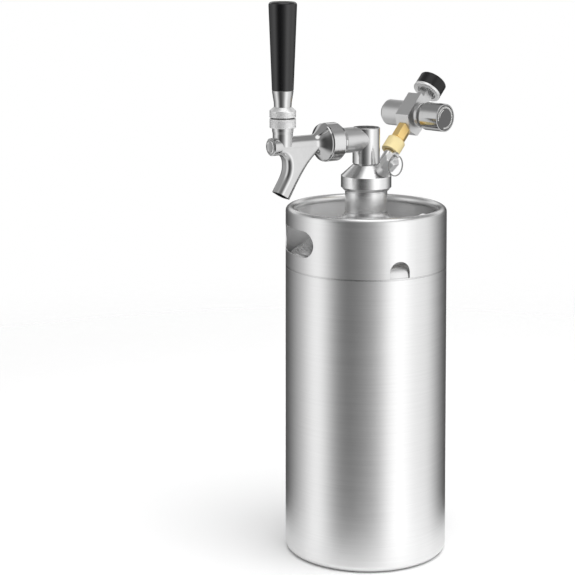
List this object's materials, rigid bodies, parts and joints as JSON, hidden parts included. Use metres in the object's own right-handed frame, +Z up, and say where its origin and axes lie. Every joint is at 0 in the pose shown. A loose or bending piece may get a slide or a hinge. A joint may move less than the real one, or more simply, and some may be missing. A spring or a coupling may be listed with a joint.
{
  "type": "mini keg growler with tap and gas regulator",
  "caption": "Steel mini keg with collar, screw cap, relief valve, swivelling beer tap on a quick disconnect, and a cartridge gas regulator with gauge and knob.",
  "frame": {"origin": "keg axis at the floor", "axes": "+Z up, -Y towards the tap's spout, +X to the right seen from the spout's side"},
  "size_m": [0.134, 0.1889, 0.4605],
  "materials": {
    "steel_brushed": "brushed, satin",
    "steel_polished": "polished",
    "chrome": "mirror polished",
    "brass": "machined, satin",
    "nickel": "satin nickel",
    "grip_black": "glossy black",
    "black_plastic": "satin black",
    "dark_disc": "dark anodised",
    "dial_white": "printed dial",
    "needle_red": "painted",
    "clear_lens": "clear",
    "rubber": "food-grade rubber",
    "silicone": "translucent silicone",
    "spring_steel": "drawn wire"
  },
  "bodies": {
    "keg": {"keg_shell": "steel_brushed", "shoulder_dome": "steel_brushed", "neck_ring": "steel_polished", "top_collar": "steel_brushed"},
    "seal": {"cap_seal": "silicone"},
    "cap": {"cap_body": "steel_polished", "liquid_post": "steel_polished", "post_oring": "rubber", "poppet_spring": "spring_steel", "dip_tube": "steel_polished", "dip_tube_oring": "rubber", "gas_stem": "steel_polished", "gas_stem_oring": "rubber", "prv_body": "steel_polished", "prv_spring": "spring_steel"},
    "poppet": {"post_poppet": "steel_polished"},
    "prv_stem": {"prv_stem": "steel_polished", "prv_seal": "rubber"},
    "prv_ring": {"prv_ring": "spring_steel"},
    "tap": {"disconnect_body": "steel_polished", "lock_balls": "steel_polished", "disconnect_plug": "steel_polished", "disconnect_pin": "steel_polished", "shank": "steel_polished", "shank_seal": "rubber", "faucet_body": "chrome", "front_plug": "chrome", "ball_seat": "rubber", "ball_washer": "silicone", "bonnet_ring": "chrome"},
    "nut": {"coupling_nut": "chrome"},
    "lever": {"lever": "steel_polished", "handle_collar": "chrome", "ferrule": "chrome", "tap_handle": "grip_black"},
    "shaft": {"faucet_shaft": "steel_polished", "seat_washer": "rubber"},
    "regulator": {"coupler_body": "brass", "coupler_balls": "steel_polished", "coupler_spring": "spring_steel", "reg_body": "nickel", "cartridge_socket": "nickel", "socket_seal": "rubber", "piercing_pin": "steel_polished", "reg_bonnet": "nickel", "reg_piston": "brass", "reg_spring": "spring_steel", "gauge_stem": "nickel", "gauge_ring": "steel_polished", "gauge_case": "black_plastic", "gauge_dial": "dial_white", "gauge_lens": "clear_lens"},
    "coupler_sleeve": {"coupler_sleeve": "brass"},
    "spring_button": {"spring_button": "brass"},
    "knob": {"knob": "chrome", "knob_disc": "dark_disc", "adjusting_screw": "brass"},
    "needle": {"gauge_needle": "needle_red"}
  },
  "joints": [
    {"name": "cap_lift", "type": "slide", "parent": "keg", "child": "seal", "axis": [0, 0, 1], "range_m": [0, 0.00901]},
    {"name": "cap_turn", "type": "hinge", "parent": "seal", "child": "cap", "pos_m": [0, 0, 0.305], "axis": [0, 0, 1], "range_deg": [0, 1080]},
    {"name": "poppet_travel", "type": "slide", "parent": "cap", "child": "poppet", "axis": [0, 0, -1], "range_m": [0, 0.001], "deforming": ["poppet_spring"]},
    {"name": "prv_pull", "type": "slide", "parent": "cap", "child": "prv_stem", "axis": [0.6941, 0.1349, 0.7071], "range_m": [0, 0.0025]},
    {"name": "prv_ring_swing", "type": "hinge", "parent": "prv_stem", "child": "prv_ring", "pos_m": [0.03193, 0.00621, 0.33303], "axis": [0.1908, -0.9816, 0], "range_deg": [-10, 100]},
    {"name": "tap_swivel", "type": "hinge", "parent": "cap", "child": "tap", "pos_m": [0, 0, 0.335], "axis": [0, 0, 1], "range_deg": [-90, 45]},
    {"name": "nut_turn", "type": "hinge", "parent": "tap", "child": "nut", "pos_m": [0, -0.034, 0.344], "axis": [0, -1, 0], "continuous": true},
    {"name": "lever_tilt", "type": "hinge", "parent": "tap", "child": "lever", "pos_m": [0, -0.0835, 0.355], "axis": [1, 0, 0], "range_deg": [0, 20]},
    {"name": "shaft_slide", "type": "slide", "parent": "tap", "child": "shaft", "axis": [0, 1, 0], "range_m": [0, 0.00385]},
    {"name": "reg_swivel", "type": "hinge", "parent": "cap", "child": "regulator", "pos_m": [-0.00626, 0.03221, 0.33331], "axis": [-0.1349, 0.6941, 0.7071], "range_deg": [-90, 90]},
    {"name": "sleeve_slide", "type": "slide", "parent": "regulator", "child": "coupler_sleeve", "axis": [0.1349, -0.6941, -0.7071], "range_m": [0, 0.0025]},
    {"name": "button_slide", "type": "slide", "parent": "regulator", "child": "spring_button", "axis": [-0.9816, -0.1908, 0], "range_m": [0, 0.00301]},
    {"name": "knob_turn", "type": "hinge", "parent": "spring_button", "child": "knob", "pos_m": [-0.01121, 0.05768, 0.35926], "axis": [-0.9816, -0.1908, 0], "range_deg": [0, 1080]},
    {"name": "needle_turn", "type": "hinge", "parent": "regulator", "child": "needle", "pos_m": [-0.01592, 0.08191, 0.38394], "axis": [0.1349, -0.6941, -0.7071], "range_deg": [0, 270]}
  ],
  "couplings": [
    {"joint": "cap_lift", "follows": "cap_turn", "m_per_rad": 0.00047746},
    {"joint": "shaft_slide", "follows": "lever_tilt", "m_per_rad": 0.011},
    {"joint": "button_slide", "follows": "knob_turn", "m_per_rad": 0.00015915}
  ]
}
